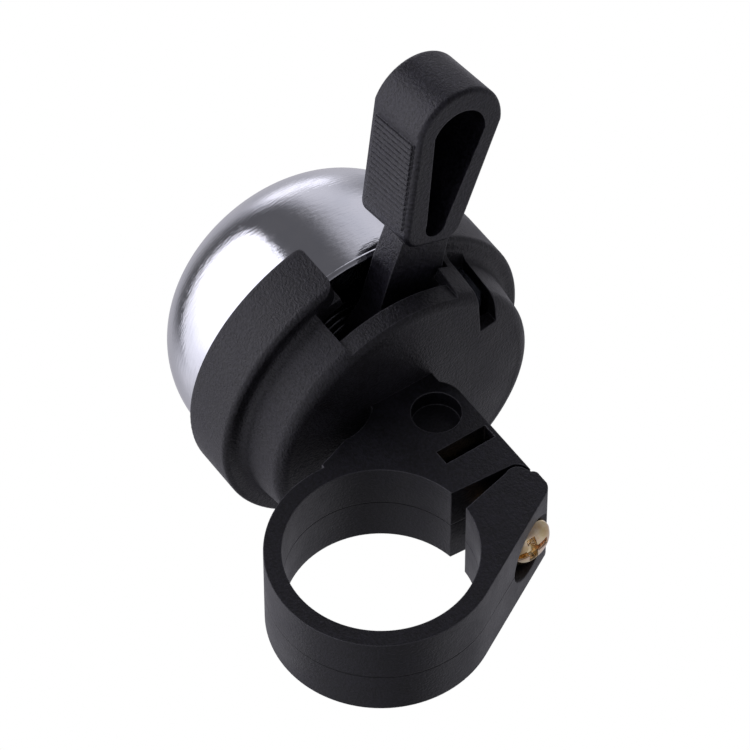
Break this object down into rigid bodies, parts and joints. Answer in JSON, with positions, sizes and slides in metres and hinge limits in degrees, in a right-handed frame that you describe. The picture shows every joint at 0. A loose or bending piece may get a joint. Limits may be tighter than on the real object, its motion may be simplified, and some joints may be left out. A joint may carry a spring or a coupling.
{
  "type": "bicycle bell",
  "caption": "Thumb-lever bicycle bell: chromed dome on a round plastic cup, with a split clamp for a round handlebar and a sprung lever that flings a hammer.",
  "frame": {"origin": "centre of the handlebar clamp's bore, at mid-width", "axes": "+X along the handlebar towards the lever's end, +Y from the handlebar towards the bell's axis, +Z along the bell's axis, up through the dome"},
  "size_m": [0.062, 0.0498, 0.0636],
  "materials": {
    "black_plastic": "moulded, fine matt texture",
    "lever_plastic": "moulded, satin",
    "chrome": "polished plating",
    "yellow_zinc": "yellow passivated zinc",
    "steel": "plain zinc plated",
    "spring_steel": "drawn wire",
    "brass": "turned",
    "cushion": "soft"
  },
  "bodies": {
    "bell": {"base_cup": "black_plastic", "handlebar_clamp": "black_plastic", "clamp_screw": "yellow_zinc", "clamp_nut": "yellow_zinc", "centre_post": "steel", "thrust_washer": "steel", "top_washer": "steel", "retaining_clip": "spring_steel", "return_spring": "spring_steel", "spring_anchor": "steel", "dome": "chrome", "dome_screw": "chrome", "dome_washer": "chrome", "dome_cushion": "cushion", "dome_pillar": "steel"},
    "lever": {"thumb_lever": "lever_plastic", "lever_bush": "brass", "hammer_pin": "steel", "hammer_washer": "steel", "hammer_clip": "spring_steel"},
    "hammer": {"hammer_arm": "steel", "hammer_weight": "brass", "weight_rivet": "steel"}
  },
  "joints": [
    {"name": "lever_swing", "type": "hinge", "parent": "bell", "child": "lever", "pos_m": [-0.0005, 0.0161, 0.0247], "axis": [0, 0, -1], "range_deg": [0, 16.5], "stiffness_Nm_per_rad": 0.08, "springref_deg": -20.05, "deforming": ["return_spring"]},
    {"name": "hammer_swing", "type": "hinge", "parent": "lever", "child": "hammer", "pos_m": [-0.0104, 0.01857, 0.027], "axis": [0, 0, -1], "range_deg": [0, 12]}
  ]
}
